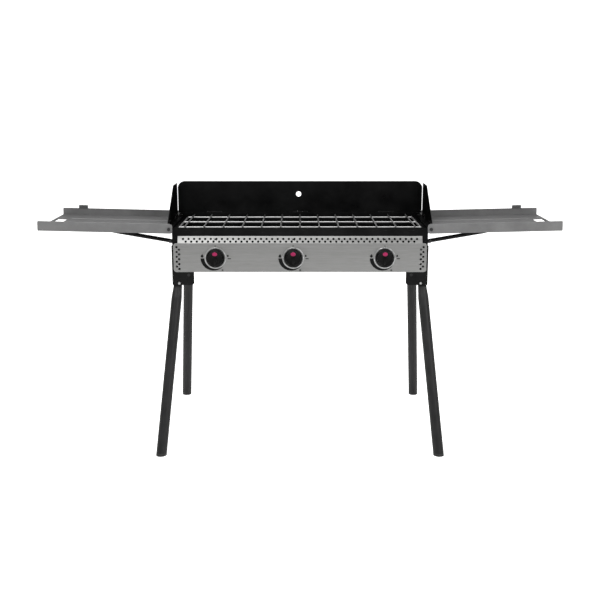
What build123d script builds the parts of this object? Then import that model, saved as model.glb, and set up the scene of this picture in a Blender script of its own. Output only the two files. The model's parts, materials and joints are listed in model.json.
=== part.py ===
"""Folding camp stove: three gas burners in a sheet-steel box, folding legs, shelves and windscreens.

Millimetres. X is to the right, Y is to the back, Z is up, and the ground is Z = 0 under the box's centre.
"""

import os
from math import atan2, cos, radians, sin

from build123d import *

# Firebox, black sheet steel
BOX_HALF_W = 462.0
BOX_FRONT = -176.0
BOX_BACK = 178.0
FLOOR_Z = 660.0
RIM_Z = 802.0
UPSTAND_Z = 812.0
SHEET = 1.6
INNER_HALF_W = BOX_HALF_W - SHEET

# Stainless front panel
PANEL_W = 914.4
PANEL_FRONT = -190.0
PANEL_SHEET = 1.2
PANEL_LOW = 643.0
PANEL_HIGH = 748.5
STRIP_HALF_W = 441.0
STRIP_HIGH = 773.0
STRIP_BACK = -178.6
STRIP_HOLE_R = 4.3
STRIP_HOLE_PITCH = 20.08
STRIP_HOLES = 43
SIDE_HOLE_R = 4.3
SIDE_HOLE_PITCH = 17.8

# Controls and burners, one line each for left, middle and right
BURNER_XS = (-305.5, -24.5, 305.5)
BURNER_NAMES = ("left", "middle", "right")
CONTROL_Z = 695.0
KNOB_R = 33.0
KNOB_BACK = -194.6
KNOB_FACE = -217.0
POINTER_R = 8.6
POINTER_RISE = 15.5
STEM_R = 4.0
MIXING_TUBE_R = 12.0
MANIFOLD_R = 7.94
MANIFOLD_Y = -150.0
MANIFOLD_Z = 673.0
INLET_X = -420.0
SCREW_OUT = 25.0
SCREW_DROP = 45.0
SHIELD_Y = -100.0
BURNER_Y = 30.0
BURNER_R = 65.0
BURNER_HEAD_LOW = 716.0
BURNER_HEAD_HIGH = 742.0
PORT_Z = 731.0
LUG_REACH = 55.0
RAIL_TOP = 711.0

# Cooking grate, round wire
GRATE_HALF = 438.0
LONG_WIRE_R = 3.5
CROSS_WIRE_R = 2.5
LONG_WIRE_Z = 799.0
LONG_WIRE_FIRST_Y = -142.0
LONG_WIRE_PITCH = 132.0
CROSS_WIRES = 13
CROSS_FRONT_Y = -160.0
CROSS_BACK_Y = 165.0
CROSS_PITCH = 69.4

# Windscreens
SCREEN_SHEET = 1.2
KNUCKLE_R = 3.0
KNUCKLE_HALF = 10.0
KNUCKLE_GAP = 0.3
KNUCKLE_END = 28.3
HINGE_PIN_R = 1.5
PIN_HEAD_R = 2.4
SCREEN_OFFSET = 1.8
SCREEN_LIFT = 3.4
REAR_DROP = 3.0
REAR_AXIS_Y = 182.0
REAR_AXIS_Z = 813.5
REAR_HALF_W = 483.0
REAR_TOP = 935.0
HANGING_HOLE_X = -5.5
HANGING_HOLE_R = 10.3
HANGING_HOLE_DROP = 51.0
SIDE_AXIS_X = 482.0
SIDE_AXIS_Z = 808.5
SIDE_TOP = 929.0
SIDE_BACK_Y = 176.0
SIDE_TOP_FRONT_Y = 57.0
SIDE_LOW_FRONT_Y = -115.0

# Folding shelves
SHELF_PIVOT_X = 471.0
SHELF_PIVOT_Z = 798.5
SHELF_INNER_X = 490.0
SHELF_END_X = 942.0
RAIL_INNER_X = 458.5
RAIL_OUTER_Y = 190.0
RAIL_T = 2.4
RAIL_LOW = 783.0
RAIL_HIGH = 817.5
SHELF_LOW = 791.0
SHELF_SHEET = 1.2
SHELF_TILT = 1.35
EAR_INNER_Y = 184.8
EAR_OUTER_Y = 187.3

# Shelf support bails, bent round tube
BAIL_PIVOT_X = 472.5
BAIL_PIVOT_Z = 750.0
BAIL_R = 7.25
BAIL_LENGTH = 225.0
BAIL_ANGLE = 9.85
BAIL_ARM_Y = 140.0
LUG_INNER_Y = 147.6
LUG_OUTER_Y = 150.6
LUG_HALF_H = 7.0

# Folding legs: round tube swaged into a square neck
LEG_NECK = 28.6
LEG_TUBE_R = 19.05
LEG_SWAGE_START = 42.0
LEG_SWAGE_END = 92.0
FOOT_CAP_HIGH = 10.0
LEG_WALL = 1.6
LEG_PIVOT_Z = 632.0
LEG_PIVOT_Y = 150.0
LEG_FOOT_Y = 345.0
FRONT_PIVOT_X = 435.5
FRONT_FOOT_X = 493.0
REAR_PIVOT_X = 436.0
REAR_FOOT_X = 482.0
LEG_SHIFT = 8.0
LEG_TOP = 9.0
LEG_BOLT_R = 4.0
LOCK_REACH = 32.0

# Leg brackets, folded plate at each end of the box
BRACKET_T = 2.4
BRACKET_LOW = 594.5
LOCK_HOLE_R = 5.5
BRACKET_HIGH = 737.0
BRACKET_INNER_X = 384.0
BRACKET_BEND = 7.0


def block(x0, x1, y0, y1, z0, z1):
    """A box between two corners."""
    return Pos((x0 + x1) / 2, (y0 + y1) / 2, (z0 + z1) / 2) * Box(
        abs(x1 - x0), abs(y1 - y0), abs(z1 - z0)
    )


def rod(r, start, end):
    """A round bar from one point to another."""
    a, b = Vector(*start), Vector(*end)
    return Solid.make_cylinder(r, (b - a).length, Plane(origin=a, z_dir=(b - a)))


def across(r, x, z, y0, y1):
    """A round bar along Y."""
    return rod(r, (x, y0, z), (x, y1, z))


def joined(shapes):
    """Every shape fused into one."""
    first, *rest = shapes
    return first.fuse(*rest).clean() if rest else first


def less(shape, cuts):
    """A shape with every cutter taken away."""
    return shape.cut(*cuts) if cuts else shape


def mirrored(shape):
    """The same piece on the other end of the stove."""
    return shape.mirror(Plane.YZ)


def outline(points, plane, depth):
    """A flat plate with the given corners, raised along the plane's normal."""
    return extrude(plane * make_face(Polyline(*points, close=True)), depth)


# ---------------------------------------------------------------- firebox


def firebox_shell():
    """Floor, side walls, taller back wall, front band, and the folded rim with its ledges."""
    w, t = BOX_HALF_W, SHEET
    parts = [
        block(-w, w, BOX_FRONT, BOX_BACK, FLOOR_Z, FLOOR_Z + t),
        block(-w, w, BOX_BACK - t, BOX_BACK, FLOOR_Z, UPSTAND_Z),
        block(-w, w, BOX_FRONT, BOX_FRONT + t, PANEL_HIGH - 2, RIM_Z),
        block(-w, w, BOX_FRONT - 1.4, BOX_FRONT, RIM_Z - 8, RIM_Z),
    ]
    for s in (-1, 1):
        parts.append(block(s * (w - t), s * w, BOX_FRONT, BOX_BACK, FLOOR_Z, RIM_Z))
        parts.append(
            block(s * w, s * (w + 24), BOX_FRONT, BOX_BACK - 2, RIM_Z - t, RIM_Z)
        )
        ledge = LONG_WIRE_Z - LONG_WIRE_R
        parts.append(
            block(s * (w - 26), s * w, BOX_FRONT, BOX_BACK, ledge - t, ledge)
        )
    inlet = across(9.0, INLET_X, MANIFOLD_Z, BOX_BACK - 10, BOX_BACK + 10)
    return less(joined(parts), [inlet])


def heat_shield():
    """Wall between the controls and the burners, with a hole for each mixing tube."""
    w, y, t, top = INNER_HALF_W, SHIELD_Y, 1.2, PANEL_HIGH - 4
    plate = block(-w, w, y - t, y, FLOOR_Z + SHEET, top)
    lip = block(-w, w, y - 12, y - t, top - t, top)
    holes = [across(MIXING_TUBE_R + 0.6, x, CONTROL_Z, y - 20, y + 20) for x in BURNER_XS]
    holes.append(across(9.0, INLET_X, MANIFOLD_Z, y - 20, y + 20))
    return less(joined([plate, lip]), holes)


def strip_holes():
    """Two staggered rows of round holes along the leaning strip."""
    lean = atan2(STRIP_BACK - PANEL_FRONT, STRIP_HIGH - PANEL_HIGH)
    face = Plane(
        origin=(0, (PANEL_FRONT + STRIP_BACK) / 2, (PANEL_HIGH + STRIP_HIGH) / 2),
        x_dir=(1, 0, 0),
        z_dir=(0, -cos(lean), sin(lean)),
    )
    spots = GridLocations(STRIP_HOLE_PITCH, 1, STRIP_HOLES, 1).locations
    lower = GridLocations(STRIP_HOLE_PITCH, 1, STRIP_HOLES - 1, 1).locations
    hole = Cylinder(STRIP_HOLE_R, 14)
    return [face * Pos(0, 2.8) * s * hole for s in spots] + [
        face * Pos(0, -7.2) * s * hole for s in lower
    ]


def side_holes():
    """Two staggered columns of round holes at each end of the main face."""
    cuts = []
    for s in (-1, 1):
        for column, inset in enumerate((12.0, 20.7)):
            for row in range(5):
                z = PANEL_HIGH - 14.0 - (row + column / 2) * SIDE_HOLE_PITCH
                x = s * (PANEL_W / 2 - inset)
                cuts.append(across(SIDE_HOLE_R, x, z, PANEL_FRONT - 3, PANEL_FRONT + 6))
    return cuts


def control_panel():
    """Stainless front sheet: flat face, leaning perforated strip, folded edges."""
    t = PANEL_SHEET
    run = STRIP_BACK - PANEL_FRONT
    profile = [
        (PANEL_FRONT, PANEL_LOW),
        (PANEL_FRONT, PANEL_HIGH),
        (STRIP_BACK, STRIP_HIGH),
        (STRIP_BACK + t, STRIP_HIGH - t * run / 30),
        (PANEL_FRONT + t, PANEL_HIGH - t * run / 60),
        (PANEL_FRONT + t, PANEL_LOW + t),
        (PANEL_FRONT + 9, PANEL_LOW + t),
        (PANEL_FRONT + 9, PANEL_LOW),
    ]
    half = PANEL_W / 2
    side = Plane(origin=(-half, 0, 0), x_dir=(0, 1, 0), z_dir=(1, 0, 0))
    sheet = outline(profile, side, PANEL_W)
    for s in (-1, 1):
        sheet = sheet.cut(
            block(
                s * STRIP_HALF_W, s * (half + 5), PANEL_FRONT - 5, -170, PANEL_HIGH, 780
            ),
            block(s * 378, s * (half + 5), -188.8, -170, PANEL_LOW - 5, PANEL_LOW + 9),
        )
        for z, up in ((PANEL_LOW, 1), (PANEL_HIGH, -1)):
            r, x1 = 10.0, s * half
            corner = block(x1 - s * r, x1 + s, -195, -181, z - up, z + up * r)
            round_off = across(r, x1 - s * r, z + up * r, -200, -170)
            sheet = sheet.cut(corner.cut(round_off))
    cuts = strip_holes() + side_holes()
    cuts += [across(6.0, x, CONTROL_Z, -200, -180) for x in BURNER_XS]
    return less(sheet, cuts)


# ---------------------------------------------------------------- gas train and burners


def gas_manifold():
    """Pipe behind the panel, with an elbow and a run back to the inlet fitting."""
    r, y, z = MANIFOLD_R, MANIFOLD_Y, MANIFOLD_Z
    end_x = BURNER_XS[2] + 24
    pipe = joined(
        [
            rod(r, (INLET_X, y, z), (end_x, y, z)),
            across(r, INLET_X, z, y, BOX_BACK + 20),
            Pos(INLET_X, y, z) * Sphere(r + 2.5),
            rod(r + 2.5, (end_x - 6, y, z), (end_x + 6, y, z)),
        ]
    )
    bore = joined(
        [
            rod(r - 2, (INLET_X, y, z), (end_x - 4, y, z)),
            across(r - 2, INLET_X, z, y, BOX_BACK + 25),
        ]
    )
    nut = Plane(origin=(INLET_X, BOX_BACK + 1.5, z), z_dir=(0, 1, 0)) * extrude(
        RegularPolygon(11.5, 6) - Circle(r - 1), 5
    )
    return joined([less(pipe, [bore]), nut])


def gas_valve(x):
    """Brass valve on the manifold: round body, saddle, and jet pointing at the mixing tube."""
    top = MANIFOLD_Z + MANIFOLD_R
    body = joined(
        [
            across(10.0, x, CONTROL_Z, -168, -134),
            across(6.0, x, CONTROL_Z, -134, -128),
            across(3.6, x, CONTROL_Z, -128, -121),
            across(12.5, x, CONTROL_Z, -172, -168),
            block(x - 8, x + 8, -158, -142, MANIFOLD_Z, CONTROL_Z),
        ]
    )
    seat = rod(MANIFOLD_R, (x - 20, MANIFOLD_Y, MANIFOLD_Z), (x + 20, MANIFOLD_Y, MANIFOLD_Z))
    below = block(x - 9, x + 9, -160, -140, MANIFOLD_Z - 1, top - 4)
    bore = across(STEM_R + 0.05, x, CONTROL_Z, -175, -155)
    jet = across(1.0, x, CONTROL_Z, -140, -120)
    return less(body, [seat, below, bore, jet])


def valve_stem(x):
    """Stem that the knob turns, with a flat for the knob."""
    stem = across(STEM_R, x, CONTROL_Z, -212, -156)
    flat = block(x - 5, x + 5, -213, -190, CONTROL_Z + 2.4, CONTROL_Z + 6)
    return less(stem, [flat])


def knob(x):
    """Round control knob: skirt, grip drum, raised finger bar and pointer seat."""
    z = CONTROL_Z
    skirt = across(KNOB_R, x, z, -200.0, KNOB_BACK)
    skirt = chamfer(skirt.edges().filter_by(GeomType.CIRCLE).sort_by(Axis.Y)[0], 2.0)
    drum = across(KNOB_R - 5.5, x, z, KNOB_FACE, -199.0)
    drum = fillet(drum.edges().filter_by(GeomType.CIRCLE).sort_by(Axis.Y)[0], 3.0)
    bar = block(x - 6.5, x + 6.5, KNOB_FACE - 5, KNOB_FACE + 3, z - 25.0, z + 5.0)
    bar = fillet(bar.edges().filter_by(Axis.Y), 5.0)
    bar = fillet(bar.edges().filter_by(GeomType.LINE).group_by(Axis.Y)[0], 1.5)
    flutes = []
    for n in range(24):
        a = radians(15 * n + 7.5)
        cx, cz = x + (KNOB_R - 4.2) * cos(a), z + (KNOB_R - 4.2) * sin(a)
        flutes.append(across(2.0, cx, cz, KNOB_FACE - 1, -200.4))
    bore = across(STEM_R + 0.05, x, z, KNOB_FACE + 1, PANEL_FRONT)
    flat = block(x - 6, x + 6, KNOB_FACE, PANEL_FRONT, z + 2.45, z + 8)
    pocket = across(POINTER_R, x, z + POINTER_RISE, KNOB_FACE - 3, KNOB_FACE + 2)
    return less(joined([skirt, drum, bar]), flutes + [bore.cut(flat), pocket])


def knob_pointer(x):
    """Coloured insert that marks the knob's setting."""
    z = CONTROL_Z
    lens = across(POINTER_R, x, z + POINTER_RISE, KNOB_FACE - 1.4, KNOB_FACE + 2)
    return fillet(lens.edges().filter_by(GeomType.CIRCLE).sort_by(Axis.Y)[0], 2.0)


def knob_bezels():
    """Thin bright ring on the panel around each knob."""
    rings = []
    for x in BURNER_XS:
        ring = across(38.6, x, CONTROL_Z, -192.8, PANEL_FRONT)
        ring = less(ring, [across(34.9, x, CONTROL_Z, -195, -185)])
        lips = ring.edges().filter_by(GeomType.CIRCLE).sort_by(Axis.Y)[:2]
        rings.append(fillet(lips, 1.2))
    return Compound(rings)


def dial_arcs():
    """Black tapering arc beside each knob that shows the flame from high to low."""
    arcs = []
    for x in BURNER_XS:
        outer = across(46.0, x - 7.5, CONTROL_Z - 0.5, -190.5, PANEL_FRONT)
        inner = across(40.4, x, CONTROL_Z, -195, -185)
        upper = block(x - 60, x + 70, -195, -185, CONTROL_Z - 2, CONTROL_Z + 70)
        screw = across(5.0, x + SCREW_OUT, CONTROL_Z - SCREW_DROP, -195, -185)
        arcs.append(less(outer, [inner, upper, screw]))
    return Compound(arcs)


def panel_screws():
    """One small round-head screw below and to the right of each knob."""
    heads = []
    z = CONTROL_Z - SCREW_DROP
    for x in [centre + SCREW_OUT for centre in BURNER_XS]:
        head = across(3.4, x, z, -191.8, PANEL_FRONT)
        slot = block(x - 0.4, x + 0.4, -193, -191.2, z - 3, z + 3)
        heads.append(less(head, [slot]))
    return Compound(heads)


def mixing_tube(x):
    """Tube that carries gas and air to the burner, with two air ports at its mouth."""
    tube = across(MIXING_TUBE_R, x, CONTROL_Z, -119, 0)
    flare = across(MIXING_TUBE_R + 2, x, CONTROL_Z, -119, -113)
    bore = across(MIXING_TUBE_R - 1.5, x, CONTROL_Z, -125, 5)
    port = block(x - 16, x + 16, -111, -104, CONTROL_Z - 4, CONTROL_Z + 4)
    return less(joined([tube, flare]), [bore, port])


def burner(x):
    """Round cast burner: bowl, head with a ring of ports, and two lugs."""
    y = BURNER_Y
    low, high = BURNER_HEAD_LOW, BURNER_HEAD_HIGH
    bowl = rod(30, (x, y, low - 33), (x, y, low))
    head = rod(BURNER_R, (x, y, low), (x, y, high))
    head = chamfer(head.edges().filter_by(GeomType.CIRCLE).sort_by(Axis.Z)[-1], 5)
    boss = rod(16, (x, y, high), (x, y, high + 5))
    lugs = []
    for s in (-1, 1):
        lug_y = y + s * LUG_REACH
        lugs.append(block(x - 9, x + 9, lug_y - 8, lug_y + 8, RAIL_TOP, low + 1))
    ports = []
    for n in range(20):
        a = radians(18 * n)
        c, s = cos(a), sin(a)
        ports.append(
            rod(2.2, (x + 56 * c, y + 56 * s, PORT_Z), (x + 70 * c, y + 70 * s, PORT_Z))
        )
    return less(joined([bowl, head, boss] + lugs), ports)


def burner_rails():
    """Two flat bars across the box that carry the burners."""
    rails = []
    for s in (-1, 1):
        y = BURNER_Y + s * LUG_REACH
        flat = block(-INNER_HALF_W, INNER_HALF_W, y - 10, y + 10, RAIL_TOP - 3, RAIL_TOP)
        ends = [
            block(e * (INNER_HALF_W - 3), e * INNER_HALF_W, y - 10, y + 10, 690, RAIL_TOP)
            for e in (-1, 1)
        ]
        rails.append(joined([flat] + ends))
    return Compound(rails)


# ---------------------------------------------------------------- grate


def cooking_grate():
    """Three long wires, two end wires and thirteen cross wires, welded into one grid."""
    ys = [LONG_WIRE_FIRST_Y + n * LONG_WIRE_PITCH for n in range(3)]
    z, r = LONG_WIRE_Z, LONG_WIRE_R
    wires = [rod(r, (-GRATE_HALF, y, z), (GRATE_HALF, y, z)) for y in ys]
    for s in (-1, 1):
        wires.append(rod(r, (s * GRATE_HALF, ys[0], z), (s * GRATE_HALF, ys[-1], z)))
        wires += [Pos(s * GRATE_HALF, y, z) * Sphere(r) for y in (ys[0], ys[-1])]
    top = z + r + CROSS_WIRE_R - 0.4
    for n in range(CROSS_WIRES):
        x = (n - (CROSS_WIRES - 1) / 2) * CROSS_PITCH
        wires.append(rod(CROSS_WIRE_R, (x, CROSS_FRONT_Y, top), (x, CROSS_BACK_Y, top)))
    return joined(wires)


# ---------------------------------------------------------------- windscreens


def hinge_spots():
    """Where the rear windscreen's hinges sit across the back."""
    return (-340.0, 0.0, 340.0)


def side_hinge_spots():
    """Where each side windscreen's hinges sit along the end."""
    return (-60.0, 120.0)


def screen_plate(corners, plane, rounds):
    """A windscreen sheet cut to its outline, with rounded upper corners."""
    face = make_face(Polyline(*corners, close=True))
    tops = [v for v in face.vertices() if v.Y > max(c[1] for c in corners) - 1]
    return extrude(plane * fillet(tops, rounds), SCREEN_SHEET)


def windscreen_rear():
    """Tall back screen with a hemmed top, a hanging hole and its hinge knuckles."""
    y0 = REAR_AXIS_Y + SCREEN_OFFSET
    a, z, w = REAR_AXIS_Y, REAR_AXIS_Z, REAR_HALF_W
    low = z - REAR_DROP
    plane = Plane(origin=(0, y0 + SCREEN_SHEET, 0), x_dir=(1, 0, 0), z_dir=(0, -1, 0))
    sheet = screen_plate([(-w, low), (w, low), (w, REAR_TOP), (-w, REAR_TOP)], plane, 28)
    hem = block(-w + 28, w - 28, y0 + SCREEN_SHEET, y0 + 2.4, REAR_TOP - 10, REAR_TOP)
    parts = [sheet, hem]
    cuts = [
        across(HANGING_HOLE_R, HANGING_HOLE_X, REAR_TOP - HANGING_HOLE_DROP, y0 - 10, y0 + 10),
        rod(HINGE_PIN_R + 0.05, (-w, a, z), (w, a, z)),
    ]
    gap = KNUCKLE_HALF + KNUCKLE_GAP
    for x in hinge_spots():
        for s in (-1, 1):
            x0, x1 = sorted((x + s * gap, x + s * KNUCKLE_END))
            parts.append(rod(KNUCKLE_R, (x0, a, z), (x1, a, z)))
        cuts.append(block(x - gap, x + gap, y0 - 4, y0 + 3, low - 1, z + 2.55))
        cuts.append(rod(PIN_HEAD_R + 0.1, (x + KNUCKLE_END, a, z), (x + KNUCKLE_END + 2, a, z)))
    return less(joined(parts), cuts)


def windscreen_side():
    """Right-hand screen with a raked front edge, a hem, a slot and its knuckles."""
    x0 = SIDE_AXIS_X + SCREEN_OFFSET
    low, top = SIDE_AXIS_Z + SCREEN_LIFT, SIDE_TOP
    plane = Plane(origin=(x0, 0, 0), x_dir=(0, 1, 0), z_dir=(1, 0, 0))
    corners = [
        (SIDE_LOW_FRONT_Y, low),
        (SIDE_BACK_Y, low),
        (SIDE_BACK_Y, top),
        (SIDE_TOP_FRONT_Y, top),
    ]
    sheet = screen_plate(corners, plane, 12)
    hem = block(
        x0 + SCREEN_SHEET, x0 + 2.4, SIDE_TOP_FRONT_Y + 14, SIDE_BACK_Y - 12, top - 9, top
    )
    parts = [sheet, hem]
    stops = [SIDE_LOW_FRONT_Y]
    for y in side_hinge_spots():
        stops += [y - 30.0, y + 30.0]
    stops.append(SIDE_BACK_Y)
    for y0, y1 in zip(stops[::2], stops[1::2]):
        parts.append(block(x0, x0 + SCREEN_SHEET, y0, y1, RIM_Z + 0.6, low + 1))
    a, z = SIDE_AXIS_X, SIDE_AXIS_Z
    for y in side_hinge_spots():
        for s in (-1, 1):
            y0, y1 = y + s * (KNUCKLE_HALF + KNUCKLE_GAP), y + s * KNUCKLE_END
            parts.append(across(KNUCKLE_R, a, z, min(y0, y1), max(y0, y1)))
            parts.append(block(x0, x0 + SCREEN_SHEET, y0, y1, z, low + 1))
    slot = block(x0 - 5, x0 + 8, 148, 153, 840, 866)
    hole = rod(2.6, (x0 - 5, 118, 853), (x0 + 8, 118, 853))
    pin = across(HINGE_PIN_R + 0.05, a, z, -150, 176)
    return less(joined(parts), [slot, hole, pin])


def rear_hinges():
    """Fixed leaves on the back wall, each with one knuckle."""
    leaves = []
    a, z, h = REAR_AXIS_Y, REAR_AXIS_Z, KNUCKLE_HALF
    for x in hinge_spots():
        leaf = joined(
            [
                block(x - 29, x + 29, BOX_BACK, BOX_BACK + 0.8, 776, 812.5),
                block(x - h, x + h, BOX_BACK, BOX_BACK + 2.0, 800, z),
                rod(KNUCKLE_R, (x - h, a, z), (x + h, a, z)),
            ]
        )
        pin = rod(HINGE_PIN_R + 0.02, (x - 40, a, z), (x + 40, a, z))
        leaves.append(less(leaf, [pin]))
    return Compound(leaves)


def side_hinges():
    """Right-hand fixed leaves on the end ledge, each with one knuckle."""
    leaves = []
    a, z, h = SIDE_AXIS_X, SIDE_AXIS_Z, KNUCKLE_HALF
    for y in side_hinge_spots():
        leaf = joined(
            [
                block(a - 16, a + 3, y - h, y + h, RIM_Z, RIM_Z + 1.2),
                block(a - 3, a + 3, y - h, y + h, RIM_Z, z - 1.6),
                across(KNUCKLE_R, a, z, y - h, y + h),
            ]
        )
        pin = across(HINGE_PIN_R + 0.02, a, z, y - 40, y + 40)
        leaves.append(less(leaf, [pin]))
    return Compound(leaves)


def hinge_pins():
    """Every windscreen hinge pin, each with a small head at one end."""
    pins = []
    for x in hinge_spots():
        a, z = REAR_AXIS_Y, REAR_AXIS_Z
        pin = rod(HINGE_PIN_R, (x - 29, a, z), (x + 29, a, z))
        pins.append(joined([pin, rod(PIN_HEAD_R, (x + 28.7, a, z), (x + 30, a, z))]))
    for s in (-1, 1):
        for y in side_hinge_spots():
            a, z = s * SIDE_AXIS_X, SIDE_AXIS_Z
            pin = across(HINGE_PIN_R, a, z, y - 29, y + 29)
            pins.append(joined([pin, across(PIN_HEAD_R, a, z, y - 30, y - 28.7)]))
    return Compound(pins)


# ---------------------------------------------------------------- shelves


def tilted(shape):
    """A shape of the right shelf, turned up about the shelf's pivot to its opened slope."""
    return shape.rotate(Axis((SHELF_PIVOT_X, 0, SHELF_PIVOT_Z), (0, 1, 0)), -SHELF_TILT)


def shelf():
    """Right-hand tray: sheet with ridges, two side rails, and a turned-down end."""
    t = SHELF_SHEET
    inner, end, y = SHELF_INNER_X, SHELF_END_X, RAIL_OUTER_Y
    parts = [
        block(inner, end, -y, y, SHELF_LOW, SHELF_LOW + t),
        block(end - t, end, -y, y, RAIL_LOW + 1, SHELF_LOW + t),
        block(inner, inner + t, -120, 120, SHELF_LOW - 5, SHELF_LOW + t),
    ]
    for ridge in (-75.0, 75.0):
        bead = block(inner + 18, end - 62, ridge - 11, ridge + 11, SHELF_LOW, SHELF_LOW + 3.4)
        parts.append(chamfer(bead.faces().sort_by(Axis.Z)[-1].edges(), 1.6))
    for s in (-1, 1):
        rail = block(
            RAIL_INNER_X, end, s * (y - RAIL_T), s * y, RAIL_LOW, RAIL_HIGH
        )
        ends = rail.edges().filter_by(Axis.Y)
        inner_ends = ends.sort_by(Axis.X)[:2]
        rail = fillet(inner_ends, 9.0)
        outer_ends = rail.edges().filter_by(Axis.Y).sort_by(Axis.X)[-2:]
        parts.append(fillet(outer_ends, 2.5))
    tray = joined(parts)
    grip = block(end - 50, end - 9, -48, 48, SHELF_LOW - 5, SHELF_LOW + 8)
    grip = fillet(grip.edges().filter_by(Axis.Z), 6)
    pivot = across(4.05, SHELF_PIVOT_X, SHELF_PIVOT_Z, -200, 200)
    return tilted(less(tray, [grip, pivot]))


def shelf_tab():
    """Small ribbed stop on top of the right shelf's back rail."""
    x, y = SHELF_END_X - 81.0, RAIL_OUTER_Y
    plate = block(x - 18, x + 18, y - RAIL_T - 1.2, y, RAIL_HIGH, RAIL_HIGH + 13)
    plate = chamfer(plate.edges().filter_by(Axis.Y).sort_by(Axis.Z)[-2:], 2)
    ribs = [
        block(x + n * 7 - 1.2, x + n * 7 + 1.2, y - 5.2, y - 3.6, RAIL_HIGH, RAIL_HIGH + 11)
        for n in (-2, -1, 0, 1, 2)
    ]
    return tilted(joined([plate] + ribs))


def shelf_ears():
    """Right-hand ears that carry the shelf's pivot bolts, front and back."""
    ears = []
    for s in (-1, 1):
        top = SHELF_PIVOT_Z + 10.8
        y0, y1 = sorted((s * EAR_INNER_Y, s * EAR_OUTER_Y))
        plate = block(BOX_HALF_W, SHELF_PIVOT_X, y0, y1, RAIL_LOW + 1, top)
        eye = across(10.9, SHELF_PIVOT_X, SHELF_PIVOT_Z, y0, y1)
        ear = joined([plate, eye])
        flange = block(BOX_HALF_W, BOX_HALF_W + 2.4, s * 140, s * EAR_OUTER_Y, RAIL_LOW + 1, RIM_Z - SHEET)
        bolt = across(4.02, SHELF_PIVOT_X, SHELF_PIVOT_Z, -200, 200)
        ears.append(less(joined([ear, flange]), [bolt]))
    return Compound(ears)


def pivot_bolts(xs, z, y, r, grip, heads):
    """Shouldered bolts along Y with a six-sided head outside and a nut inside."""
    bolts = []
    for x in xs:
        for s in (-1, 1):
            hex_plane = Plane(origin=(x, s * y, z), z_dir=(0, s, 0))
            head = hex_plane * extrude(RegularPolygon(heads, 6), 3.6)
            shank = across(r, x, z, min(s * y, s * (y - grip)), max(s * y, s * (y - grip)))
            nut_plane = Plane(origin=(x, s * (y - grip), z), z_dir=(0, -s, 0))
            nut = nut_plane * extrude(RegularPolygon(heads, 6), 3.0)
            bolts.append(joined([shank, head, nut]))
    return Compound(bolts)


def bail():
    """Right-hand support: one bent tube with two arms and a bar under the shelf."""
    a = radians(BAIL_ANGLE)
    y, r = BAIL_ARM_Y, BAIL_R
    start = (BAIL_PIVOT_X, BAIL_PIVOT_Z)
    bend = 30.0
    reach = BAIL_LENGTH - bend
    far = (start[0] + reach * cos(a), start[1] + reach * sin(a))
    bar = (start[0] + BAIL_LENGTH * cos(a), start[1] + BAIL_LENGTH * sin(a))
    parts = []
    for s in (-1, 1):
        parts.append(rod(r, (start[0], s * y, start[1]), (far[0], s * y, far[1])))
        parts.append(Pos(start[0], s * y, start[1]) * Sphere(r))
        centre = (far[0], s * (y - bend), far[1])
        swing = Plane(
            origin=centre, x_dir=(0, s, 0), z_dir=(s * sin(a), 0, -s * cos(a))
        )
        path = swing * CenterArc((0, 0), bend, 0, 90)
        if (path @ 1 - Vector(bar[0], s * (y - bend), bar[1])).length > 0.01:
            path = swing * CenterArc((0, 0), bend, 0, -90)
        parts.append(sweep(Plane(origin=path @ 0, z_dir=path % 0) * Circle(r), path=path))
    parts.append(rod(r, (bar[0], -(y - bend), bar[1]), (bar[0], y - bend, bar[1])))
    hole = across(3.05, start[0], start[1], -200, 200)
    return less(joined(parts), [hole])


def bail_lugs():
    """Right-hand lugs on the box that hold the support's two ends."""
    lugs = []
    end_x, inner, outer = BAIL_PIVOT_X + LUG_HALF_H, LUG_INNER_Y, LUG_OUTER_Y
    low, high = BAIL_PIVOT_Z - LUG_HALF_H, BAIL_PIVOT_Z + LUG_HALF_H
    for s in (-1, 1):
        lug = block(BOX_HALF_W, end_x, s * inner, s * outer, low, high)
        lug = fillet(lug.edges().filter_by(Axis.Y).sort_by(Axis.X)[-2:], LUG_HALF_H - 0.1)
        foot = block(BOX_HALF_W, BOX_HALF_W + 2.4, s * inner, s * 164, low, high)
        hole = across(3.02, BAIL_PIVOT_X, BAIL_PIVOT_Z, -200, 200)
        lugs.append(less(joined([lug, foot]), [hole]))
    return Compound(lugs)


def bail_bolts():
    """Bolts through the lugs and the support arms, both ends of the stove."""
    bolts = []
    for e in (-1, 1):
        for s in (-1, 1):
            x, z = e * BAIL_PIVOT_X, BAIL_PIVOT_Z
            y0, y1 = sorted((s * 131.0, s * 153.0))
            shank = across(3.0, x, z, y0, y1)
            o0, o1 = sorted((s * 150.6, s * 153.8))
            i0, i1 = sorted((s * 132.6, s * 129.6))
            bolts.append(
                joined([shank, across(5.4, x, z, o0, o1), across(5.0, x, z, i0, i1)])
            )
    return Compound(bolts)


# ---------------------------------------------------------------- legs


def leg_plane(side, front):
    """Frame of one leg at its pivot: local Z runs down the leg, local X is the pivot's axis."""
    px = side * (FRONT_PIVOT_X if front else REAR_PIVOT_X)
    fx = side * (FRONT_FOOT_X if front else REAR_FOOT_X)
    s = -1 if front else 1
    pivot = Vector(px, s * LEG_PIVOT_Y, LEG_PIVOT_Z)
    foot = Vector(fx, s * LEG_FOOT_Y, 0)
    down = (foot - pivot).normalized()
    axis = Vector(1, 0, 0).cross(down).normalized()
    return Plane(origin=pivot, x_dir=axis, z_dir=down), (foot - pivot).length


def leg_centre(plane):
    """Frame on the leg's own centre line, which runs outboard of its pivot."""
    side = 1 if plane.origin.X > 0 else -1
    return Plane(
        origin=plane.origin + plane.y_dir * LEG_SHIFT * side, x_dir=plane.x_dir, z_dir=plane.z_dir
    )


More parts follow.
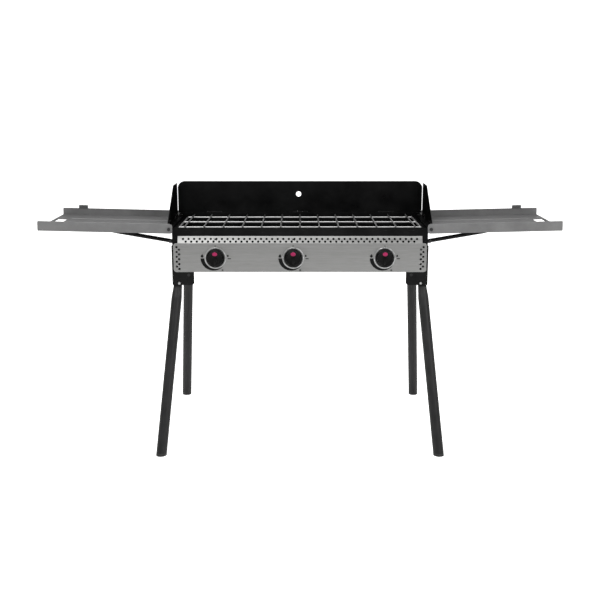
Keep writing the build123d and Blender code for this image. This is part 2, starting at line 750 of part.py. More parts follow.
def square_bar(plane, size, start, end, corner):
    """Square bar along the leg."""
    return leg_centre(plane) * Pos(0, 0, start) * extrude(
        RectangleRounded(size, size, corner), end - start
    )


def round_bar(plane, r, start, end, narrow=0.0, taper=0.0):
    """Round bar along the leg, which can grow out of a narrower end."""
    at = leg_centre(plane)
    bar = at * Pos(0, 0, (start + taper + end) / 2) * Cylinder(r, end - start - taper)
    if taper:
        bar += at * Pos(0, 0, start + taper / 2) * Cone(narrow, r, taper)
    return bar


def above_ground(shape, z):
    """The part of a shape above a level."""
    return shape.cut(block(-700, 700, -600, 600, z - 200, z))


def leg(side, front):
    """Round tube swaged into a square neck, with a pivot hole through the neck."""
    plane, length = leg_plane(side, front)
    wall, start, end = LEG_WALL, LEG_SWAGE_START, LEG_SWAGE_END
    narrow = LEG_NECK / 2 + 0.7
    neck = square_bar(plane, LEG_NECK, -LEG_TOP, end + 4, 3.5)
    tube = round_bar(plane, LEG_TUBE_R, start, length + 60, narrow, end - start)
    hollow = square_bar(plane, LEG_NECK - 2 * wall, -20, end + 10, 2.2)
    core = round_bar(plane, LEG_TUBE_R - wall, start, length + 80, narrow - wall, end - start)
    pin = plane * (Rot(0, 90, 0) * Cylinder(LEG_BOLT_R + 0.05, 60))
    return above_ground(less(neck + tube, [hollow, core, pin]), FOOT_CAP_HIGH)


def foot_cap(side, front):
    """Moulded plug in the end of the tube, with a flush rim and a level sole."""
    plane, length = leg_plane(side, front)
    rim = above_ground(round_bar(plane, LEG_TUBE_R, length - 30, length + 40), 0.0)
    rim = rim.cut(block(-700, 700, -600, 600, FOOT_CAP_HIGH, FOOT_CAP_HIGH + 200))
    plug = round_bar(plane, LEG_TUBE_R - LEG_WALL - 0.1, length - 40, length + 40)
    return rim + above_ground(plug, FOOT_CAP_HIGH - 0.5)


def leg_channel(side, front):
    """Pair of ears and a top plate under the floor that hold one leg's pivot."""
    plane, _ = leg_plane(side, front)
    half = LEG_NECK / 2
    shift = LEG_SHIFT * side
    ears = []
    for s in (-1, 1):
        local = Pos(s * (half + 1.9), shift, -2) * Box(2.6, 31, 58)
        ear = fillet(local.edges().filter_by(Axis.X).sort_by(Axis.Z)[-2:], 12)
        ears.append(plane * ear)
    x, y = plane.origin.X + shift, plane.origin.Y
    s = 1 if y > 0 else -1
    roof = block(x - 16.5, x + 16.5, y - 27 - 3 * s, y + 27 - 3 * s, FLOOR_Z - 2.4, FLOOR_Z)
    body = joined(ears + [roof])
    body = body.cut(block(-700, 700, -600, 600, FLOOR_Z, FLOOR_Z + 60))
    pin = plane * (Rot(0, 90, 0) * Cylinder(LEG_BOLT_R + 0.02, 80))
    return body.cut(pin)


def leg_bolt(side, front):
    """Pivot bolt through one leg and its two ears."""
    plane, _ = leg_plane(side, front)
    out = LEG_NECK / 2 + 3.2
    shank = plane * (Rot(0, 90, 0) * Cylinder(LEG_BOLT_R, 2 * out + 2))
    ends = [plane * (Pos(s * (out + 2), 0, 0) * Rot(0, 90, 0) * Cylinder(7, 4)) for s in (-1, 1)]
    return joined([shank] + ends)


def lock_spots(side, front):
    """Where the lock button shows in the bracket when the leg is down, and when it is folded."""
    plane, _ = leg_plane(side, front)
    down = plane.origin + plane.z_dir * LOCK_REACH
    return (down.X, down.Z), (plane.origin.X - side * LOCK_REACH, plane.origin.Z)


def end_bracket():
    """Right-hand plate folded round the end of the box, with front and back flanges."""
    t, out, bend = BRACKET_T, BOX_HALF_W, BRACKET_BEND
    y = -PANEL_FRONT - PANEL_SHEET
    far = out + t
    skin = block(BRACKET_INNER_X, far, -y, y, BRACKET_LOW, BRACKET_HIGH)
    skin = fillet(skin.edges().filter_by(Axis.Z).group_by(Axis.X)[-1], bend)
    core = block(100, out, t - y, y - t, BRACKET_LOW - 5, BRACKET_HIGH + 5)
    core = fillet(core.edges().filter_by(Axis.Z).group_by(Axis.X)[-1], bend - t)
    plate = skin.cut(core)
    cuts = [block(100, out - 22, -200, 200, PANEL_LOW + 8, BRACKET_HIGH + 5)]
    for s, front in ((-1, True), (1, False)):
        r = 11.0
        x0, z0 = BRACKET_INNER_X, BRACKET_LOW
        corner = block(x0 - 1, x0 + r, s * 180, s * 195, z0 - 1, z0 + r)
        cuts.append(corner.cut(across(r, x0 + r, z0 + r, -200, 200)))
        for x, z in lock_spots(1, front):
            cuts.append(across(LOCK_HOLE_R, x, z, min(s * 180, s * 195), max(s * 180, s * 195)))
    return less(plate, cuts)


def lock_buttons():
    """Bright domed buttons in the brackets' lower holes, one for each leg."""
    y = -PANEL_FRONT - PANEL_SHEET
    buttons = []
    for side in (-1, 1):
        for s, front in ((-1, True), (1, False)):
            x, z = lock_spots(side, front)[0]
            barrel = across(LOCK_HOLE_R - 0.1, x, z, *sorted((s * (y - BRACKET_T), s * (y + 1.5))))
            dome = Pos(x, s * (y + 0.2), z) * Sphere(LOCK_HOLE_R)
            dome = dome.cut(
                block(x - 9, x + 9, s * (y + 1.4), s * (y - 12), z - 9, z + 9)
            )
            flat = block(x - 9, x + 9, s * (y + 4.2), s * (y + 12), z - 9, z + 9)
            buttons.append(less(joined([barrel, dome]), [flat]))
    return Compound(buttons)


def bracket_bolts():
    """Bolt heads that fix the end brackets to the box."""
    heads = []
    for e in (-1, 1):
        for y in (-160.0, -60.0, 60.0, 160.0):
            for z in (690.0, 725.0):
                x0 = e * (BOX_HALF_W + BRACKET_T)
                head = rod(5.5, (x0, y, z), (x0 + e * 2.6, y, z))
                rim = head.edges().filter_by(GeomType.CIRCLE)
                rim = rim.sort_by(lambda c: abs(c.center().X))
                heads.append(chamfer(rim[-1], 1.0))
    return Compound(heads)


def build():
    """Every node of the stove, by name."""
    nodes = {
        "firebox_shell": firebox_shell(),
        "heat_shield": heat_shield(),
        "control_panel": control_panel(),
        "gas_manifold": gas_manifold(),
        "burner_rails": burner_rails(),
        "knob_bezels": knob_bezels(),
        "dial_arcs": dial_arcs(),
        "panel_screws": panel_screws(),
        "cooking_grate": cooking_grate(),
        "windscreen_rear": windscreen_rear(),
        "rear_hinges": rear_hinges(),
        "hinge_pins": hinge_pins(),
        "lock_buttons": lock_buttons(),
        "bracket_bolts": bracket_bolts(),
        "bail_bolts": bail_bolts(),
        "shelf_pivot_bolts": pivot_bolts(
            (-SHELF_PIVOT_X, SHELF_PIVOT_X), SHELF_PIVOT_Z, RAIL_OUTER_Y + 0.05, 4.0, 5.4, 6.4
        ),
    }
    for name, x in zip(BURNER_NAMES, BURNER_XS):
        nodes["burner_" + name] = burner(x)
        nodes["mixing_tube_" + name] = mixing_tube(x)
        nodes["gas_valve_" + name] = gas_valve(x)
        nodes["valve_stem_" + name] = valve_stem(x)
        nodes["knob_" + name] = knob(x)
        nodes["knob_pointer_" + name] = knob_pointer(x)
    for name, make in (
        ("windscreen", windscreen_side),
        ("side_hinges", side_hinges),
        ("shelf", shelf),
        ("shelf_tab", shelf_tab),
        ("shelf_ears", shelf_ears),
        ("shelf_support", bail),
        ("support_lugs", bail_lugs),
        ("end_bracket", end_bracket),
    ):
        right = make()
        nodes[name + "_right"] = right
        nodes[name + "_left"] = mirrored(right)
    channels, bolts = [], []
    for side, end in ((-1, "left"), (1, "right")):
        for front, row in ((True, "front"), (False, "rear")):
            nodes["leg_" + row + "_" + end] = leg(side, front)
            nodes["foot_cap_" + row + "_" + end] = foot_cap(side, front)
            channels.append(leg_channel(side, front))
            bolts.append(leg_bolt(side, front))
    nodes["leg_channels"] = Compound(channels)
    nodes["leg_pivot_bolts"] = Compound(bolts)
    return nodes


os.makedirs("parts", exist_ok=True)
for node, shape in build().items():
    shape = shape if isinstance(shape, (Compound, Solid)) else Compound([shape])
    shape.label = node
    export_step(shape, "parts/" + node + ".step")
    print(node, len(shape.solids()), round(shape.volume / 1000, 2))
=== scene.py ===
import json
import math

import bmesh
import bpy
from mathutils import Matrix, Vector


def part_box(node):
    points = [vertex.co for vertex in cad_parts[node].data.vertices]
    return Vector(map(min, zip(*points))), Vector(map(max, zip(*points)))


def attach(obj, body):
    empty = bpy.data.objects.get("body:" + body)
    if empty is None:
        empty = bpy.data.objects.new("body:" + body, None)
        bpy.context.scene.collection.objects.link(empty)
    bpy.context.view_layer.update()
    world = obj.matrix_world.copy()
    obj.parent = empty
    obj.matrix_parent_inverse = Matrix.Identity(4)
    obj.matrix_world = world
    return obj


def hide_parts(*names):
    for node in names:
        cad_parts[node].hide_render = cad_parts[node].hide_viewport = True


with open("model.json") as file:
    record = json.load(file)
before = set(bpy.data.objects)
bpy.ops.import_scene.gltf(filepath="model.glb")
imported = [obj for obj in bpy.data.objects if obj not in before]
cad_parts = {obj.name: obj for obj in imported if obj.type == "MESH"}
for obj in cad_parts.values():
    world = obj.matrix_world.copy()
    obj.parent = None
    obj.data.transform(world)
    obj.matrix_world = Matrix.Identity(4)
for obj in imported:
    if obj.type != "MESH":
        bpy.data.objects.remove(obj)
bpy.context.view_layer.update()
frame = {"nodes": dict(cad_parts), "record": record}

NODES = frame["nodes"]
ENDS = ("left", "middle", "right")
MM = 0.001
RIGHT = Vector((1, 0, 0))
UP = Vector((0, 0, 1))


# ---------------------------------------------------------------- materials


class Graph:
    """A small helper for writing a material's nodes."""

    def __init__(self, name):
        self.material = bpy.data.materials.new(name)
        self.material.use_nodes = True
        self.tree = self.material.node_tree
        self.tree.nodes.clear()
        self.out = self.add("ShaderNodeOutputMaterial")
        self.bsdf = self.add("ShaderNodeBsdfPrincipled")
        self.join(self.bsdf, "BSDF", self.out, "Surface")
        self.coords = self.add("ShaderNodeNewGeometry")

    def add(self, kind, **values):
        node = self.tree.nodes.new(kind)
        for key, value in values.items():
            setattr(node, key, value)
        return node

    def join(self, a, out, b, into):
        self.tree.links.new(a.outputs[out], b.inputs[into])

    def stretched(self, scale):
        """The object's own position, stretched along each axis."""
        node = self.add("ShaderNodeVectorMath", operation="MULTIPLY")
        self.join(self.coords, "Position", node, 0)
        node.inputs[1].default_value = scale
        return node

    def noise(self, scale, detail=4.0, rough=0.55, space=(1, 1, 1)):
        node = self.add("ShaderNodeTexNoise")
        node.inputs["Scale"].default_value = scale
        node.inputs["Detail"].default_value = detail
        node.inputs["Roughness"].default_value = rough
        self.join(self.stretched(space), "Vector", node, "Vector")
        return node

    def ramp(self, source, out, low, high, a=0.0, b=1.0):
        node = self.add("ShaderNodeMapRange")
        node.inputs["From Min"].default_value = low
        node.inputs["From Max"].default_value = high
        node.inputs["To Min"].default_value = a
        node.inputs["To Max"].default_value = b
        self.join(source, out, node, "Value")
        return node

    def plug(self, value, socket):
        """Set a socket to a number or a colour, or link another socket to it."""
        if isinstance(value, (int, float)):
            socket.default_value = value
        elif isinstance(value, tuple):
            socket.default_value = (*value, 1)
        else:
            self.tree.links.new(value, socket)

    def maths(self, kind, a, b):
        node = self.add("ShaderNodeMath", operation=kind)
        self.plug(a, node.inputs[0])
        self.plug(b, node.inputs[1])
        return node.outputs[0]

    def mix(self, factor, a, b):
        node = self.add("ShaderNodeMix", data_type="RGBA")
        for value, place in ((factor, 0), (a, 6), (b, 7)):
            self.plug(value, node.inputs[place])
        return node.outputs[2]

    def edges(self, radius):
        """1 on an outside edge and 0 on a flat face."""
        rounded = self.rounded(radius)
        dot = self.add("ShaderNodeVectorMath", operation="DOT_PRODUCT")
        self.plug(rounded, dot.inputs[0])
        self.join(self.coords, "Normal", dot, 1)
        return self.ramp(dot, "Value", 0.995, 0.86).outputs[0]

    def rounded(self, radius):
        bevel = self.add("ShaderNodeBevel", samples=4)
        bevel.inputs["Radius"].default_value = radius
        return bevel.outputs["Normal"]

    def grazing(self):
        """0 where a surface faces the eye and 1 at its rim."""
        facing = self.add("ShaderNodeLayerWeight")
        facing.inputs["Blend"].default_value = 0.5
        return self.ramp(facing, "Facing", 0.35, 0.9).outputs[0]

    def bump(self, height, strength, distance, normal):
        node = self.add("ShaderNodeBump")
        node.inputs["Strength"].default_value = strength
        node.inputs["Distance"].default_value = distance
        self.tree.links.new(height, node.inputs["Height"])
        self.tree.links.new(normal, node.inputs["Normal"])
        return node.outputs["Normal"]

    def set(self, **values):
        for key, v in values.items():
            self.plug(v, self.bsdf.inputs[key.replace("_", " ")])
        return self.material


def brushed(name, light, dark, rough=0.3, grain=(0.02, 1, 1), edge=0.8):
    """Bare metal sheet with a grain: fine streaks, faint smudges and painted highlights on edges and
    folds.
    """
    g = Graph(name)
    streak = g.noise(900, 3, 0.6, grain)
    broad = g.noise(120, 2, 0.5, grain)
    smudge = g.noise(9, 5, 0.6)
    tone = g.maths("MULTIPLY", streak.outputs["Fac"], 0.75)
    tone = g.maths("ADD", tone, g.maths("MULTIPLY", broad.outputs["Fac"], 0.25))
    colour = g.mix(g.ramp(tone.node, 0, 0.3, 0.7).outputs[0], dark, light)
    # Painted highlight: outside edges and folds are lightened towards pale grey, standing in for light
    # caught on the bends.
    colour = g.mix(g.maths("MULTIPLY", g.edges(edge * MM), 0.35), colour, (0.8, 0.8, 0.8))
    spread = g.ramp(smudge, "Fac", 0.3, 0.7, rough - 0.05, rough + 0.09).outputs[0]
    spread = g.maths("ADD", spread, g.maths("MULTIPLY", streak.outputs["Fac"], 0.08))
    normal = g.bump(streak.outputs["Fac"], 0.12, 0.0002, g.rounded(edge * MM))
    return g.set(Base_Color=colour, Metallic=1.0, Roughness=spread, Normal=normal, Anisotropic=0.4)


def coated(name, colour, rough=0.4, peel=420, depth=0.25, wear=0.25, bare=(0.2, 0.2, 0.2),
           sheen=0.5, edge=0.9, mottled=0.12):
    """Paint or powder coat: orange peel, uneven gloss, dust, rubbed edges, and painted shade towards the
    rim.
    """
    g = Graph(name)
    skin = g.noise(peel, 2, 0.5)
    patch = g.noise(14, 5, 0.6)
    speck = g.noise(1500, 1, 0.5)
    shade = tuple(c * (1 - mottled) for c in colour)
    tint = tuple(min(1, c * (1 + mottled) + 0.004) for c in colour)
    base = g.mix(g.ramp(patch, "Fac", 0.32, 0.68).outputs[0], shade, tint)
    chips = g.ramp(g.noise(160, 4, 0.7), "Fac", 0.5, 0.62).outputs[0]
    rub = g.maths("MULTIPLY", g.edges(edge * MM), chips)
    base = g.mix(g.maths("MULTIPLY", rub, wear), base, bare)
    # Painted shade: the colour darkens where the surface turns away from the eye, and the gloss is
    # turned down there too.
    rim = g.grazing()
    base = g.mix(g.maths("MULTIPLY", rim, 0.6), base, tuple(c * 0.3 for c in colour))
    gloss = g.maths("MULTIPLY", g.maths("SUBTRACT", 1.0, rim), sheen)
    spread = g.ramp(patch, "Fac", 0.3, 0.7, rough - 0.06, rough + 0.08).outputs[0]
    spread = g.maths("ADD", spread, g.maths("MULTIPLY", speck.outputs["Fac"], 0.05))
    normal = g.bump(skin.outputs["Fac"], depth, 0.0003, g.rounded(edge * MM))
    return g.set(Base_Color=base, Roughness=spread, Normal=normal, Specular_IOR_Level=gloss)


def moulded(name, colour, rough=0.35, grain=2600, depth=0.12, edge=0.7, sheen=0.5):
    """Injection-moulded plastic with a fine spark-eroded grain and handled highlights."""
    g = Graph(name)
    fine = g.noise(grain, 2, 0.5)
    touch = g.noise(26, 4, 0.6)
    lift = tuple(min(1, c * 1.25 + 0.003) for c in colour)
    base = g.mix(g.ramp(touch, "Fac", 0.35, 0.65).outputs[0], colour, lift)
    spread = g.ramp(touch, "Fac", 0.3, 0.7, rough - 0.06, rough + 0.08).outputs[0]
    normal = g.bump(fine.outputs["Fac"], depth, 0.0002, g.rounded(edge * MM))
    return g.set(Base_Color=base, Roughness=spread, Normal=normal, Specular_IOR_Level=sheen)


def cast(name, colour):
    """Sand-cast iron: coarse pitted skin with dull high spots."""
    g = Graph(name)
    pits = g.noise(520, 6, 0.7)
    broad = g.noise(40, 4, 0.6)
    rust = g.ramp(g.noise(60, 5, 0.7), "Fac", 0.58, 0.7).outputs[0]
    base = g.mix(g.ramp(pits, "Fac", 0.35, 0.65).outputs[0], colour, tuple(c * 1.9 for c in colour))
    base = g.mix(g.maths("MULTIPLY", rust, 0.25), base, (0.12, 0.05, 0.02))
    spread = g.ramp(broad, "Fac", 0.3, 0.7, 0.55, 0.75).outputs[0]
    normal = g.bump(pits.outputs["Fac"], 0.5, 0.0006, g.rounded(1.2 * MM))
    return g.set(Base_Color=base, Roughness=spread, Normal=normal, Metallic=0.4)


def bright(name, colour, rough=0.28):
    """Plated or turned metal with turning marks and slight tarnish."""
    g = Graph(name)
    marks = g.noise(700, 2, 0.5, (1, 0.2, 1))
    stain = g.noise(70, 4, 0.6)
    dull = tuple(c * 0.6 for c in colour)
    base = g.mix(g.ramp(stain, "Fac", 0.42, 0.66).outputs[0], colour, dull)
    spread = g.ramp(marks, "Fac", 0.3, 0.7, rough - 0.06, rough + 0.1).outputs[0]
    normal = g.bump(marks.outputs["Fac"], 0.12, 0.0002, g.rounded(0.4 * MM))
    return g.set(Base_Color=base, Metallic=1.0, Roughness=spread, Normal=normal)


MATERIALS = {
    "black_enamel": coated("black enamel", (0.002, 0.002, 0.0021), 0.3, 260, 0.08, 0.1, sheen=0.08),
    "galvanised_sheet": brushed("plain sheet", (0.2, 0.2, 0.2), (0.12, 0.12, 0.12), 0.5, (1, 1, 1)),
    "stainless": brushed("brushed stainless", (0.31, 0.31, 0.305), (0.23, 0.23, 0.225), 0.36),
    "bracket_paint": coated("bracket paint", (0.0025, 0.0025, 0.0026), 0.4, 420, 0.2, 0.2, sheen=0.1),
    "black_tube": coated("black tube paint", (0.0025, 0.0025, 0.0025), 0.28, 500, 0.1, 0.1, sheen=0.12),
    "leg_paint": coated("leg powder coat", (0.0075, 0.0075, 0.0078), 0.4, 600, 0.3, 0.25, sheen=0.3),
    "foot_plastic": moulded("foot cap plastic", (0.005, 0.005, 0.005), 0.55, 1400, 0.3),
    "cast_iron": cast("cast iron", (0.02, 0.02, 0.02)),
    "brass": bright("turned brass", (0.72, 0.5, 0.2)),
    "pipe_steel": bright("plated pipe", (0.4, 0.4, 0.4), 0.35),
    "pointer_red": moulded("red pointer", (0.25, 0.007, 0.06), 0.3, sheen=0.25),
    "knob_plastic": moulded("knob plastic", (0.002, 0.002, 0.002), 0.22, sheen=0.08),
    "black_print": coated("printed black", (0.003, 0.003, 0.003), 0.5, 900, 0.05, 0.0, sheen=0.1),
    "zinc": bright("zinc plate", (0.5, 0.5, 0.5), 0.3),
    "black_bolts": coated("black bolts", (0.006, 0.006, 0.006), 0.35, 700, 0.15, 0.3),
    "grate_steel": brushed("grate wire plate", (0.42, 0.42, 0.42), (0.24, 0.24, 0.24), 0.3, (1, 1, 1)),
    "tab_plastic": moulded("tab plastic", (0.07, 0.07, 0.07), 0.5),
    "shelf_steel": coated(
        "grey shelf coat", (0.125, 0.125, 0.125), 0.4, 900, 0.15, 0.12, (0.35, 0.35, 0.35)
    ),
}



def dress(name, material):
    """Give a CAD node one material."""
    slots = NODES[name].data.materials
    slots.clear()
    slots.append(material)


for part in frame["record"]["subparts"]:
    dress(part["node"], MATERIALS[part["material_slot"]])

# The rings round the knobs are polished, unlike the brushed panel that they sit on.
dress("knob_bezels", bright("polished ring", (0.6, 0.6, 0.6), 0.3))

# The screws beside the knobs have gone dark from heat and handling.
dress("panel_screws", bright("darkened screw", (0.1, 0.1, 0.1), 0.45))


# ---------------------------------------------------------------- mesh helpers


SHARP_ANGLE = 38
BEAD_SIDES = 14
NEARLY_Y = Vector((0.02, 0.98, 0.17))


def piece(name, bm, body, slot):
    """Finish a mesh as one visible piece that rides on a body."""
    bmesh.ops.remove_doubles(bm, verts=bm.verts, dist=1e-7)
    bmesh.ops.recalc_face_normals(bm, faces=bm.faces)
    mesh = bpy.data.meshes.new(name)
    bm.to_mesh(mesh)
    bm.free()
    mesh.materials.append(MATERIALS[slot])
    mesh.shade_smooth()
    mesh.set_sharp_from_angle(angle=math.radians(SHARP_ANGLE))
    ob = bpy.data.objects.new(name, mesh)
    bpy.context.scene.collection.objects.link(ob)
    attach(ob, body)
    return ob


def around(steps):
    """The angles of a full turn in equal steps."""
    return [2 * math.pi * i / steps for i in range(steps)]


def bridge(bm, rings):
    """Join rings of points into a skin, with both ends closed."""
    rows = [[bm.verts.new(point) for point in ring] for ring in rings]
    count = len(rows[0])
    for a, b in zip(rows, rows[1:]):
        for i in range(count):
            j = (i + 1) % count
            bm.faces.new((a[i], a[j], b[j], b[i]))
    bm.faces.new(rows[0])
    bm.faces.new(rows[-1][::-1])


def lathe(bm, centre, profile, flutes, cut, band, steps):
    """Turn a profile of radius and height, in mm, about -Y, with flutes cut into one band."""
    rings = []
    for radius, height in profile:
        depth = cut if band[0] <= height <= band[1] else 0.0
        ring = []
        for a in around(steps):
            r = radius - depth * max(0.0, math.cos(flutes * a)) ** 2
            ring.append(centre + MM * Vector((r * math.cos(a), -height, r * math.sin(a))))
        rings.append(ring)
    bridge(bm, rings)


def power(value, exponent):
    """A power that keeps the sign of its value."""
    return math.copysign(abs(value) ** exponent, value)


def pillow(bm, centre, half, square, steps):
    """A lump with the given half sizes in mm, rounder the nearer square is to 1."""
    rings = []
    for i in range(1, steps):
        u = math.pi * (i / steps - 0.5)
        ring = []
        for v in around(2 * steps):
            x = half[0] * power(math.cos(u), square) * power(math.cos(v), square)
            y = half[1] * power(math.sin(u), square)
            z = half[2] * power(math.cos(u), square) * power(math.sin(v), square)
            ring.append(centre + MM * Vector((x, y, z)))
        rings.append(ring)
    bridge(bm, rings)


def tube(bm, path, radius):
    """A round bead along a path of points, radius in mm."""
    rings = []
    for i, point in enumerate(path):
        ahead = path[min(i + 1, len(path) - 1)] - path[max(i - 1, 0)]
        runs_along_y = abs(ahead.normalized().y) > 0.9
        side = ahead.cross(RIGHT if runs_along_y else NEARLY_Y).normalized()
        up = ahead.cross(side).normalized()
        ring = []
        for a in around(BEAD_SIDES):
            ring.append(point + radius * MM * (math.cos(a) * side + math.sin(a) * up))
        rings.append(ring)
    bridge(bm, rings)


def centre_of(node):
    """The middle of a node's box."""
    low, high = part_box(node)
    return (Vector(low) + Vector(high)) / 2


# ---------------------------------------------------------------- knobs


# Radius and height in mm: stem bore, skirt, grip, lip and face.
KNOB_PROFILE = [
    (4.6, 20.8), (4.6, 0.3), (4.9, 0.0),
    (30.5, 0.0), (32.2, 0.2), (32.9, 1.0), (33.0, 2.2), (32.9, 3.6), (32.2, 4.6), (30.8, 5.3),
    (29.2, 5.8), (28.5, 6.6), (28.2, 8.0), (28.0, 12.0), (27.7, 17.0), (27.3, 19.6), (26.7, 21.2),
    (25.7, 22.1), (24.5, 22.4), (23.4, 22.2), (22.6, 21.6), (21.0, 21.3), (9.0, 21.2), (1.0, 21.2),
]
KNOB_SIDES = 120
FLUTES = 24
FLUTE_DEPTH = 0.9
GRIP_BAND = (7.0, 19.0)

BAR_PLACE = Vector((0, -23.9, -5.5))
BAR_HALF = (5.6, 3.0, 13.5)
INSERT_HEIGHT = 20.6
INSERT_RISE = 2.8
INSERT_HALF = (9.4, 3.2, 8.0)


def knob(end):
    """Control knob: rolled skirt, fluted grip, raised lip, sunk face, finger bar and stem bore."""
    node = "knob_" + end
    seat = centre_of(node)
    seat.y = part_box(node)[1][1]
    bm = bmesh.new()
    lathe(bm, seat, KNOB_PROFILE, FLUTES, FLUTE_DEPTH, GRIP_BAND, KNOB_SIDES)
    pillow(bm, seat + MM * BAR_PLACE, BAR_HALF, square=0.55, steps=20)
    ob = piece("knob_body_" + end, bm, node, "knob_plastic")
    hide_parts(node)


def pointer(end):
    """Crimson insert let into the top of the knob's face."""
    node = "knob_pointer_" + end
    at = centre_of(node)
    at.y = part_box("knob_" + end)[1][1] - INSERT_HEIGHT * MM
    bm = bmesh.new()
    pillow(bm, at + MM * INSERT_RISE * UP, INSERT_HALF, square=1.0, steps=28)
    ob = piece("knob_insert_" + end, bm, "knob_" + end, "pointer_red")
    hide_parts(node)


for end in ENDS:
    knob(end)
    pointer(end)


# ---------------------------------------------------------------- printed marks


MARK_HEIGHT = 0.25
STRIP_HEIGHT = 24.5
STRIP_LEANS_BACK = 11.4
SIGN_HEIGHT = 14.5


def mark(bm, centre, points, up=UP):
    """A flat printed shape, raised by a hair from the sheet it is on."""
    out = RIGHT.cross(up)
    base = [centre + MM * (x * RIGHT + y * up) for x, y in points]
    bridge(bm, [base, [point + MM * MARK_HEIGHT * out for point in base]])


def flame(size):
    """Outline of a small flame: a drop with its tip leaning to one side."""
    points = []
    for a in around(24):
        tip = max(0.0, math.sin(a)) ** 4
        x = 0.5 * math.cos(a) * (1 - tip) + 0.1 * tip
        y = 0.5 * math.sin(a) + 0.45 * tip
        points.append((size * x, size * y))
    return points


def disc(radius):
    return [(radius * math.cos(a), radius * math.sin(a)) for a in around(20)]


def dash(width, height):
    w, h = width / 2, height / 2
    return [(-w, -h), (w, -h), (w, h), (-w, h)]


def dial_marks():
    """High and low flames beside each knob, a stop tick above it and a burner sign on the strip."""
    bm = bmesh.new()
    panel_low, panel_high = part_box("control_panel")
    lean_top = Vector((0, panel_low[1] + STRIP_LEANS_BACK * MM, panel_high[2]))
    lean_foot = Vector((0, panel_low[1], panel_high[2] - STRIP_HEIGHT * MM))
    lean = (lean_top - lean_foot).normalized()
    for end in ENDS:
        spot = centre_of("knob_" + end)
        face = Vector((spot.x, panel_low[1], spot.z))
        for x, z, shape in (
            (-48, 6, flame(10)), (45, 7, flame(6.5)), (50, -3, dash(11, 3.2)), (0, 43.5, dash(6, 2.2)),
        ):
            mark(bm, face + MM * Vector((x, 0, z)), shape)
        strip = Vector((spot.x, lean_foot.y, lean_foot.z)) + lean * SIGN_HEIGHT * MM
        mark(bm, strip, disc(3.0), up=lean)
        for n in range(4):
            a = math.radians(45 + 90 * n)
            away = 6.2 * MM * Vector((math.cos(a), 0, 0)) + 5.0 * MM * math.sin(a) * lean
            mark(bm, strip + away, disc(1.3), up=lean)
    piece("dial_marks", bm, "box", "black_print")


dial_marks()


# ---------------------------------------------------------------- grate welds and rolled edges


WELD_HALF = (4.2, 5.4, 2.2)
WELD_BELOW_TOP = 5.6
CROSS_WIRES, CROSS_PITCH = 13, 69.4
LONG_WIRES, LONG_WIRE_FIRST_Y, LONG_WIRE_PITCH = 3, -142.0, 132.0

SHELF_TILT = 1.35
SHELF_PIVOT_X, SHELF_PIVOT_Z = 471.0, 798.5
RAIL_Y, RAIL_TOP, RAIL_STATIONS = 188.8, 816.7, (468.5, 600, 800, 939.0)
OUTER_X, OUTER_Z, OUTER_STATIONS = 940.6, 784.6, (-187, -60, 60, 187)
RAIL_BEAD, OUTER_BEAD = 1.7, 1.3


def grate_welds():
    """A small weld bead at every crossing of the grate."""
    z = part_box("cooking_grate")[1][2] - WELD_BELOW_TOP * MM
    bm = bmesh.new()
    half = CROSS_WIRES // 2
    for n in range(-half, half + 1):
        for row in range(LONG_WIRES):
            x = n * CROSS_PITCH * MM
            y = (LONG_WIRE_FIRST_Y + LONG_WIRE_PITCH * row) * MM
            pillow(bm, Vector((x, y, z)), WELD_HALF, square=0.9, steps=8)
    piece("grate_welds", bm, "cooking_grate", "grate_steel")


def shelf_edges(end, side):
    """Rolled top edge on both rails of a shelf, and a bead round its outer end."""
    cos, sin = math.cos(math.radians(SHELF_TILT)), math.sin(math.radians(SHELF_TILT))

    def place(x, y, z):
        """A point of a level shelf, in mm, turned with the shelf about its pivot."""
        dx, dz = x - SHELF_PIVOT_X, z - SHELF_PIVOT_Z
        across, up = dx * cos - dz * sin, dx * sin + dz * cos
        return MM * Vector((side * (SHELF_PIVOT_X + across), y, SHELF_PIVOT_Z + up))

    bm = bmesh.new()
    for y in (-RAIL_Y, RAIL_Y):
        tube(bm, [place(x, y, RAIL_TOP) for x in RAIL_STATIONS], RAIL_BEAD)
    tube(bm, [place(OUTER_X, y, OUTER_Z) for y in OUTER_STATIONS], OUTER_BEAD)
    piece("shelf_edges_" + end, bm, "shelf_" + end, "shelf_steel")


grate_welds()
shelf_edges("left", -1)
shelf_edges("right", 1)


# ---------------------------------------------------------------- floor, lights, camera


# Strength of the paper's own light for the eye, and for everything else.
PAPER_GLOW = 0.6
BOUNCE_GLOW = 0.12

# Brightness of the surroundings near the ground, and overhead.
FRONT_LEVEL = 0.25
TOP_LEVEL = 0.9

SHEET_HALF_WIDTH = 9
SHEET_FRONT_Y, BEND_Y = -6.0, 2.6
BEND_RADIUS, BEND_STEPS = 1.6, 12
SHEET_TOP_Z = 6.0


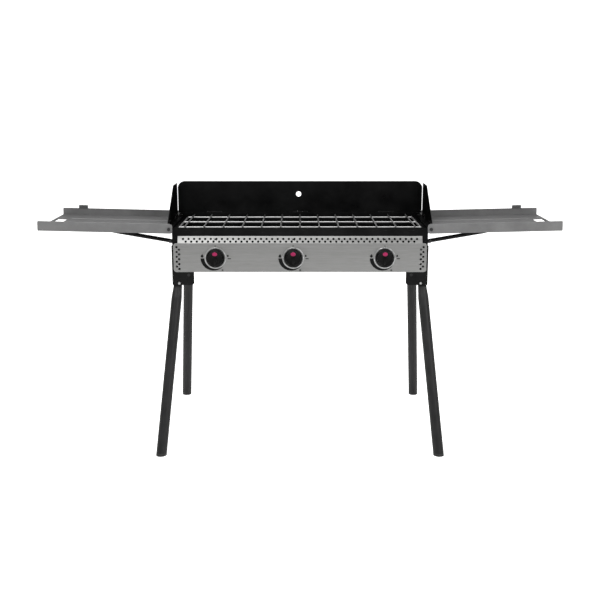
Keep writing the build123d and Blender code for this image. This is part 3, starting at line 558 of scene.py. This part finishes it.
def floor():
    """A pale seamless sheet: flat underfoot and curving up behind."""
    bm = bmesh.new()
    profile = [(SHEET_FRONT_Y, 0.0), (BEND_Y, 0.0)]
    for n in range(1, BEND_STEPS + 1):
        a = math.radians(90 * n / BEND_STEPS)
        profile.append((BEND_Y + BEND_RADIUS * math.sin(a), BEND_RADIUS * (1 - math.cos(a))))
    profile.append((BEND_Y + BEND_RADIUS, SHEET_TOP_Z))
    rows = [[bm.verts.new((x, y, z)) for y, z in profile] for x in (-SHEET_HALF_WIDTH, SHEET_HALF_WIDTH)]
    for i in range(len(profile) - 1):
        bm.faces.new((rows[0][i], rows[1][i], rows[1][i + 1], rows[0][i + 1]))
    mesh = bpy.data.meshes.new("studio_sheet")
    bm.to_mesh(mesh)
    bm.free()
    for p in mesh.polygons:
        p.use_smooth = True
    sheet = bpy.data.objects.new("studio_sheet", mesh)
    bpy.context.scene.collection.objects.link(sheet)
    g = Graph("studio paper")
    fibre = g.noise(60, 3, 0.5)
    base = g.mix(g.ramp(fibre, "Fac", 0.3, 0.7).outputs[0], (0.86, 0.86, 0.86), (0.9, 0.9, 0.9))
    path = g.add("ShaderNodeLightPath")
    glow = g.maths("MULTIPLY", path.outputs["Is Camera Ray"], PAPER_GLOW)
    glow = g.maths("ADD", glow, BOUNCE_GLOW)
    g.set(Base_Color=base, Roughness=0.9, Specular_IOR_Level=0.1)
    mesh.materials.append(g.set(Emission_Color=(1.0, 1.0, 1.0), Emission_Strength=glow))


def area(name, place, aim, size, watts):
    """A rectangular soft light that looks at a point."""
    lamp = bpy.data.lights.new(name, "AREA")
    lamp.shape = "RECTANGLE"
    lamp.size, lamp.size_y = size
    lamp.energy = watts
    ob = bpy.data.objects.new(name, lamp)
    ob.location = place
    ob.rotation_euler = (Vector(aim) - Vector(place)).to_track_quat("-Z", "Y").to_euler()
    bpy.context.scene.collection.objects.link(ob)


def studio_world():
    """Soft surroundings: bright overhead and behind, darker in front of the stove."""
    world = bpy.data.worlds.new("studio")
    world.use_nodes = True
    tree = world.node_tree
    back = tree.nodes["Background"]
    spot = tree.nodes.new("ShaderNodeTexCoord")
    split = tree.nodes.new("ShaderNodeSeparateXYZ")
    tree.links.new(spot.outputs["Generated"], split.inputs[0])
    lift = tree.nodes.new("ShaderNodeMapRange")
    lift.inputs["From Min"].default_value = 0.25
    lift.inputs["From Max"].default_value = 0.95
    lift.inputs["To Min"].default_value = FRONT_LEVEL
    lift.inputs["To Max"].default_value = TOP_LEVEL
    tree.links.new(split.outputs["Z"], lift.inputs["Value"])
    rear = tree.nodes.new("ShaderNodeMapRange")
    rear.inputs["From Min"].default_value = -0.1
    rear.inputs["From Max"].default_value = 0.6
    rear.inputs["To Min"].default_value = 0.0
    rear.inputs["To Max"].default_value = 1.0
    tree.links.new(split.outputs["Y"], rear.inputs["Value"])
    both = tree.nodes.new("ShaderNodeMath")
    both.operation = "ADD"
    tree.links.new(lift.outputs[0], both.inputs[0])
    tree.links.new(rear.outputs[0], both.inputs[1])
    path = tree.nodes.new("ShaderNodeLightPath")
    seen = tree.nodes.new("ShaderNodeMath")
    seen.operation = "MAXIMUM"
    tree.links.new(both.outputs[0], seen.inputs[0])
    tree.links.new(path.outputs["Is Camera Ray"], seen.inputs[1])
    tree.links.new(seen.outputs[0], back.inputs[1])
    back.inputs[0].default_value = (1, 1, 1, 1)
    bpy.context.scene.world = world


FOCAL_LENGTH = 55.78
EYE = (0, -3.4963, 1.2976)
LOOKS_DOWN = 12.92

floor()
area("key", (-1.6, -2.4, 3.2), (0, 0, 0.6), (2.4, 1.8), 72)
area("fill", (2.2, -2.6, 2.2), (0, 0, 0.6), (2.0, 2.0), 45)
area("top", (0, 0.6, 3.6), (0, 0, 0.7), (3.0, 1.6), 60)
studio_world()

lens = bpy.data.cameras.new("camera")
lens.sensor_width = 36
lens.lens = FOCAL_LENGTH
camera = bpy.data.objects.new("camera", lens)
camera.location = EYE
camera.rotation_euler = (math.radians(90 - LOOKS_DOWN), 0, 0)
bpy.context.scene.collection.objects.link(camera)
bpy.context.scene.camera = camera
bpy.context.scene.view_settings.view_transform = "Standard"
